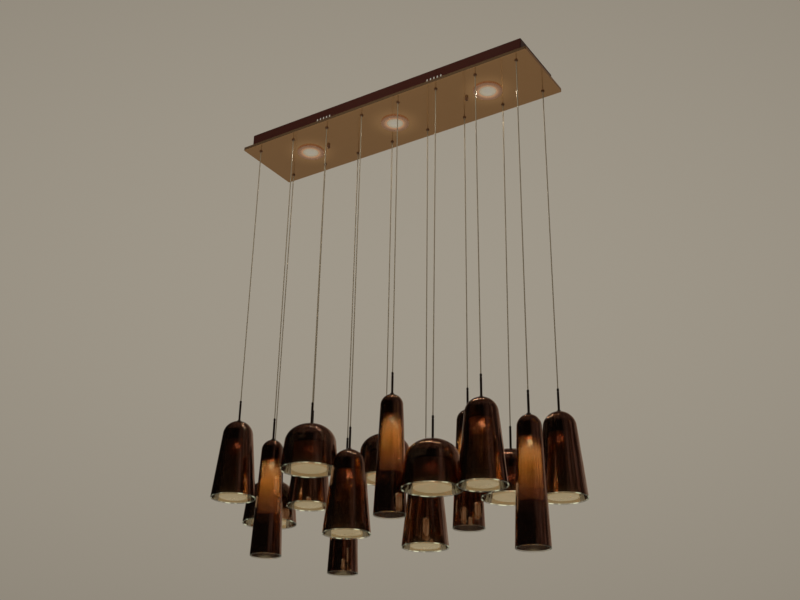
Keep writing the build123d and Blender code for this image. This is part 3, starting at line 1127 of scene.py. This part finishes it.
    def stem_mesh(self, name: str) -> Mesh:
        """The rod: turned, with a waist under a small ferrule where the cable goes in.

        Args:
            name: Name of the mesh.

        Returns:
            The mesh.
        """
        radius, top = self.stem_radius, -self.stem_length
        corners = [
            (0.0, top, 0), (radius - 0.0008, top, 0.0003),
            (radius, top + 0.0012, 0.0004), (radius, top + 0.0070, 0.0003),
            (radius - 0.0006, top + 0.0076, 0.0002), (radius - 0.0006, top + 0.0086, 0.0002),
            (radius, top + 0.0092, 0.0003), (radius, -0.0046, 0.0003),
            (radius - 0.0004, -0.0040, 0.0002), (radius - 0.0004, -0.0034, 0.0002),
            (radius, -0.0030, 0), (radius, -0.0010, 0),
            (0.0, -0.0010, 0),
        ]
        return lathe(name, *rounded(corners), segments=40)

    def collar_mesh(self, name: str) -> Mesh:
        """The collar on the glass, with its shank down through the crown into the holder.

        Args:
            name: Name of the mesh.

        Returns:
            The mesh.
        """
        bore, rim, foot = self.stem_radius + 0.0001, self.collar_radius, self.seat_depth + self.shank_length
        corners = [
            (0.0, -0.0010, 0), (bore, -0.0010, 0), (bore, -self.collar_height, 0.0002),
            (rim - 0.0006, -self.collar_height, 0.0009), (rim, -0.0012, 0.0003), (rim - 0.0005, -0.0009, 0.0001),
            (rim - 0.0005, -0.0006, 0.0001), (rim, -0.0004, 0.0001), (rim, 0.0, 0),
            (self.stem_radius, 0.0, 0), (self.stem_radius, foot, 0), (0.0, foot, 0),
        ]
        return lathe(name, *rounded(corners), segments=48)

    def holder_mesh(self, name: str) -> Mesh:
        """The lamp holder: a neck, a grooved body and the cap that closes the opal cup.

        Args:
            name: Name of the mesh.

        Returns:
            The mesh.
        """
        neck, body, foot = self.neck_radius, self.body_radius, self.holder_depth
        cap, spigot = self.form.cup_top + 0.001, self.form.cup_top - 0.0018
        corners = [
            (0.0, self.seat_depth, 0),
            (neck, self.seat_depth, 0),
            (neck, self.body_top, 0.0008),
            (body, self.body_top, 0.0010),
        ]
        for number in range(self.grooves):
            depth = self.groove_start + self.groove_pitch * number
            corners += [
                (body, depth, 0.0002),
                (body - self.groove, depth + 0.0004, 0.0002),
                (body - self.groove, depth + 0.0014, 0.0002),
                (body, depth + 0.0018, 0.0002),
            ]
        corners += [
            (body, self.body_bottom, 0.0005),
            (cap, self.body_bottom, 0.0010),
            (cap, foot, 0.0004),
            (spigot, foot, 0),
            (spigot, foot + 0.003, 0.0003),
            (spigot - 0.0015, foot + 0.003, 0.0003),
            (spigot - 0.0015, foot, 0),
            (0.0, foot, 0),
        ]
        return lathe(name, *rounded(corners, 3), segments=72)

    def capsule_mesh(self, name: str) -> Mesh:
        """The capsule lamp: a short base, a straight envelope and a round end.

        Args:
            name: Name of the mesh.

        Returns:
            The mesh.
        """
        radius, top, steps = self.capsule_radius, self.holder_depth, 8
        base, end = radius - 0.001, top + self.capsule_straight
        points = [(0.0, top), (base, top), (base, top + 0.002), (radius, top + 0.004), (radius, end)]
        for step in range(1, steps):
            angle = math.radians(90 * step / steps)
            points.append((radius * math.cos(angle), end + radius * math.sin(angle)))
        points.append((0.0, end + radius))
        return lathe(name, points, segments=32, sharp=(1,))

    def cup_mesh(self, name: str) -> Mesh:
        """The opal cup: thin walls, a closed floor with a rounded edge and an open top.

        Args:
            name: Name of the mesh.

        Returns:
            The mesh.
        """
        form, top, floor = self.form, self.holder_depth, self.cup_floor
        flare = (form.cup_bottom - form.cup_top) * floor / (form.cup_depth - top)
        corners = [
            (form.cup_top, top, 0),
            (form.cup_bottom, form.cup_depth, 0.0015),
            (0.0, form.cup_depth, 0),
            (0.0, form.cup_depth - floor, 0),
            (form.cup_bottom - flare - self.cup_wall, form.cup_depth - floor, 0.001),
            (form.cup_top - self.cup_wall, top, 0),
        ]
        return lathe(name, *rounded(corners, 5))


# The canopy


@dataclass
class Canopy:
    """The canopy: the carried-over CAD nodes with their finishes, and the lit lenses."""

    palette: Palette
    lens_thickness: float = 0.003
    lens_base: float = -0.059
    lens_rings: int = 9
    downlights: tuple[float, ...] = (-LAMP_PITCH, 0.0, LAMP_PITCH)
    finishes: tuple[tuple[str, str], ...] = (
        ("cover_plate", "champagne_plate"),
        ("housing", "burgundy_lacquer"),
        ("ceiling_bracket", "zinc_steel"),
        ("bracket_studs", "zinc_steel"),
        ("cap_nuts", "dark_bronze"),
        ("downlight_bezels", "rose_copper"),
        ("downlight_modules", "cast_module"),
        ("downlight_lock_rings", "black_nylon"),
        ("cord_grips", "dark_bronze"),
        ("led_drivers", "driver_case"),
        ("terminal_block", "terminal_nylon"),
    )

    def build(self) -> None:
        """Dresses the nodes and makes the lenses."""
        for node, finish in self.finishes:
            self.palette.paint(bpy.data.objects[node], finish)
            log.info("%s: %s", node, finish)
        mesh = self.lens_mesh()
        for number, x in enumerate(self.downlights, start=1):
            lens = linked(f"downlight_lens_{number}", mesh)
            lens.location = (x, 0.0, self.lens_base)
            self.palette.dress(lens, "lit_lens")
            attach(lens, "canopy")
            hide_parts("downlight_lenses")
            log.info("%s: a ringed lens", lens.name)

    def lens_mesh(self) -> Mesh:
        """A lens whose underside has moulded rings round a small dome.

        Returns:
            The mesh.
        """
        top = -self.lens_thickness
        points: Profile = [(0.0, top), (LENS_RADIUS, top), (LENS_RADIUS, 0.0), (LENS_RADIUS * 0.9, 0.0)]
        for ring in range(self.lens_rings - 1, 0, -1):
            middle = LENS_RADIUS * 0.86 * ring / self.lens_rings
            points += [(middle + 0.0006, -0.0001), (middle, -0.0005), (middle - 0.0009, -0.0001)]
        points.append((0.0, 0.0))
        return lathe("ringed_lens", points, segments=64, sharp=(1, 2))


# The studio


@dataclass
class World:
    """What a ray finds beyond the scene: the backdrop where it is seen, and a dim room in reflections."""

    backdrop: Colour = (0.346, 0.309, 0.250)
    backdrop_edge: Colour = (0.235, 0.207, 0.165)
    dim: Colour = (0.004, 0.0035, 0.003)
    panel: Colour = (0.092, 0.056, 0.042)
    ambient: Colour = (0.50, 0.48, 0.45)
    right: Point = (0.839, 0.544, 0.0)
    above: Point = (0.224, -0.345, 0.912)
    behind: Point = (-0.160, 0.987, 0.0)

    def __post_init__(self) -> None:
        """Starts the world's node tree."""
        world = bpy.data.worlds.new("studio_world")
        bpy.context.scene.world = world
        world.use_nodes = True
        self.graph = Graph(world.node_tree)
        self.ray = self.graph.outputs("ShaderNodeTexCoord")["Generated"]
        self.path = self.graph.outputs("ShaderNodeLightPath")

    def build(self) -> None:
        """Shows the backdrop where it is seen, the dim room in reflections, and a plain ambient elsewhere."""
        graph, path = self.graph, self.path
        facing = graph.remap(self.toward(self.behind), 0.50, 0.94, 1.0, 0.0)
        raised = graph.remap(graph.split(self.ray)["Z"], -0.25, -0.05, 0.0, 1.0)
        mirrored = graph.math("MULTIPLY", graph.math("MULTIPLY", facing, raised), path["Is Glossy Ray"])
        seen = graph.mix(mirrored, self.backdrop_tone(), self.room_tone())
        direct = graph.math("MAXIMUM", path["Is Camera Ray"], path["Is Glossy Ray"])
        seen_rays = graph.math("MAXIMUM", direct, path["Is Transmission Ray"])
        graph.fill(graph.tree.nodes["Background"].inputs, Color=graph.mix(seen_rays, self.ambient, seen))

    def toward(self, direction: Point) -> Socket:
        """How far a ray runs along a direction of length one, from -1 to 1."""
        return self.graph.outputs("ShaderNodeVectorMath", self.ray, direction, operation="DOT_PRODUCT")["Value"]

    def backdrop_tone(self) -> Socket:
        """The backdrop, brightest in its middle and falling off faster up and down than sideways.

        Returns:
            Its colour.
        """
        graph = self.graph
        across = graph.math("POWER", self.toward(self.right), 2.0)
        along = graph.math("POWER", graph.math("ADD", self.toward(self.above), -0.02), 2.0)
        away = graph.math("MULTIPLY_ADD", along, 5.5, graph.math("MULTIPLY", across, 1.6), clamp=True)
        return graph.mix(away, self.backdrop, self.backdrop_edge)

    def room_tone(self) -> Socket:
        """The dim room that the glass mirrors: a paler side to the right, and a paler ceiling.

        Returns:
            Its colour.
        """
        graph = self.graph
        strips = graph.noise(7.0, 2.0, vector=graph.scaled(self.ray, (1.0, 1.0, 0.15)))
        broken = graph.remap(strips, 0.42, 0.60, 0.25, 1.0)
        side = graph.remap(self.toward(self.right), 0.05, 0.75, 0.0, 1.0)
        ceiling = graph.remap(graph.split(self.ray)["Z"], 0.55, 0.9, 0.0, 0.8)
        pale = graph.math("MULTIPLY", graph.math("MAXIMUM", side, ceiling), broken)
        return graph.mix(pale, self.dim, self.panel)


@dataclass
class Studio:
    """A pale floor, the world round it and the lamps."""

    floor_tone: Colour = (0.42, 0.38, 0.31)
    floor_mottle: Colour = (0.36, 0.33, 0.27)
    softbox_tone: Colour = (1.0, 0.95, 0.88)
    beam_tone: Colour = (1.0, 0.86, 0.66)
    floor_height: float = -2.35
    floor_reach: float = 40.0
    beam_size: float = 0.036
    beam_power: float = 0.25
    beam_height: float = -0.0612

    def build(self) -> None:
        """Sets up the world, the floor and the lamps."""
        bpy.context.scene.view_settings.view_transform = "Standard"
        World().build()
        self.make_floor()
        self.make_softbox("key_softbox", (-1.6, -2.6, -0.1), (0.0, 0.0, -1.0), 1.6, 22.0)
        self.make_softbox("fill_softbox", (2.6, -1.2, -1.9), (0.0, 0.0, -0.6), 1.8, 12.0)
        self.make_softbox("canopy_softbox", (0.1, -0.75, -0.25), (0.0, 0.0, -0.15), 0.8, 4.2)
        for number, x in enumerate(Canopy.downlights, start=1):
            place = (x, 0.0, self.beam_height)
            self.make_lamp(f"downlight_beam_{number}", "DISK", place, self.beam_size, self.beam_power, self.beam_tone)

    def make_floor(self) -> None:
        """A wide floor with the backdrop's colour."""
        reach = self.floor_reach
        mesh = bpy.data.meshes.new("studio_floor")
        outline = [(-reach, -reach, 0), (reach, -reach, 0), (reach, reach, 0), (-reach, reach, 0)]
        mesh.from_pydata(outline, [], [(0, 1, 2, 3)])
        floor = linked("studio_floor", mesh)
        floor.location.z = self.floor_height
        surface = Surface("studio_floor")
        tone = surface.veil(self.floor_tone, self.floor_mottle, surface.noise(2.0, 4.0, 0.6), 0.12)
        surface.shade(Roughness=0.9, Specular_IOR_Level=0.1, Base_Color=tone)
        mesh.materials.append(surface.material)
        floor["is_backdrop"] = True

    def make_lamp(
        self, name: str, form: str, place: Point, size: float, power: float, tone: Colour
    ) -> bpy.types.Object:
        """A lamp that shines down and that the camera doesn't see.

        Args:
            name: Name of the lamp.
            form: Outline of its face.
            place: Where it stands.
            size: Width of its face.
            power: Its power in watts.
            tone: Colour of its light.

        Returns:
            The lamp.
        """
        data = bpy.data.lights.new(name, "AREA")
        data.shape = form
        data.size = size
        data.energy = power
        data.color = tone
        lamp = linked(name, data)
        lamp.location = place
        lamp.visible_camera = False
        return lamp

    def make_softbox(self, name: str, place: Point, target: Point, size: float, power: float) -> None:
        """A large soft lamp that no reflection shows.

        Args:
            name: Name of the lamp.
            place: Where it stands.
            target: Where it points.
            size: Length of its sides.
            power: Its power in watts.
        """
        lamp = self.make_lamp(name, "SQUARE", place, size, power, self.softbox_tone)
        lamp.rotation_euler = (Vector(target) - Vector(place)).to_track_quat("-Z", "Y").to_euler()
        lamp.visible_glossy = False
        lamp.visible_transmission = False


@dataclass
class Viewpoint:
    """The camera, low in front of the light and looking up at it."""

    place: Point = (1.51179, -2.28907, -1.88605)
    yaw: float = -32.93
    pitch: float = 24.27
    roll: float = 0.985
    lens: float = 47.99
    film: float = 36.0

    def build(self) -> None:
        """Makes the camera and makes it the scene's own."""
        yaw, pitch = math.radians(self.yaw), math.radians(self.pitch)
        forward = Vector((math.sin(yaw) * math.cos(pitch), math.cos(yaw) * math.cos(pitch), math.sin(pitch)))
        data = bpy.data.cameras.new("viewpoint")
        data.lens = self.lens
        data.sensor_width = self.film
        camera = linked("viewpoint", data)
        camera.location = self.place
        camera.rotation_mode = "QUATERNION"
        camera.rotation_quaternion = forward.to_track_quat("-Z", "Y") @ Quaternion((0, 0, 1), math.radians(self.roll))
        bpy.context.scene.camera = camera


def corners(box: Any) -> list[list[float]]:
    """A box as plain lists of numbers."""
    return [[round(float(number), 6) for number in corner] for corner in box]


def main() -> None:
    """Builds the camera, the cables and their pendants, the canopy and the studio."""
    logging.basicConfig(level=logging.INFO, format="%(message)s")
    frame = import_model()
    cad_box = corners(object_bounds())
    Viewpoint().build()
    palette = Palette(FINISHES)
    for joint in frame["joints"]:
        Pendant(joint["child"], Vector(joint["pos_m"]), palette).build()
    Canopy(palette).build()
    Studio().build()
    bpy.context.view_layer.update()
    {"cad": cad_box, "visual": corners(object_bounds())}


if __name__ == "__main__":
    main()
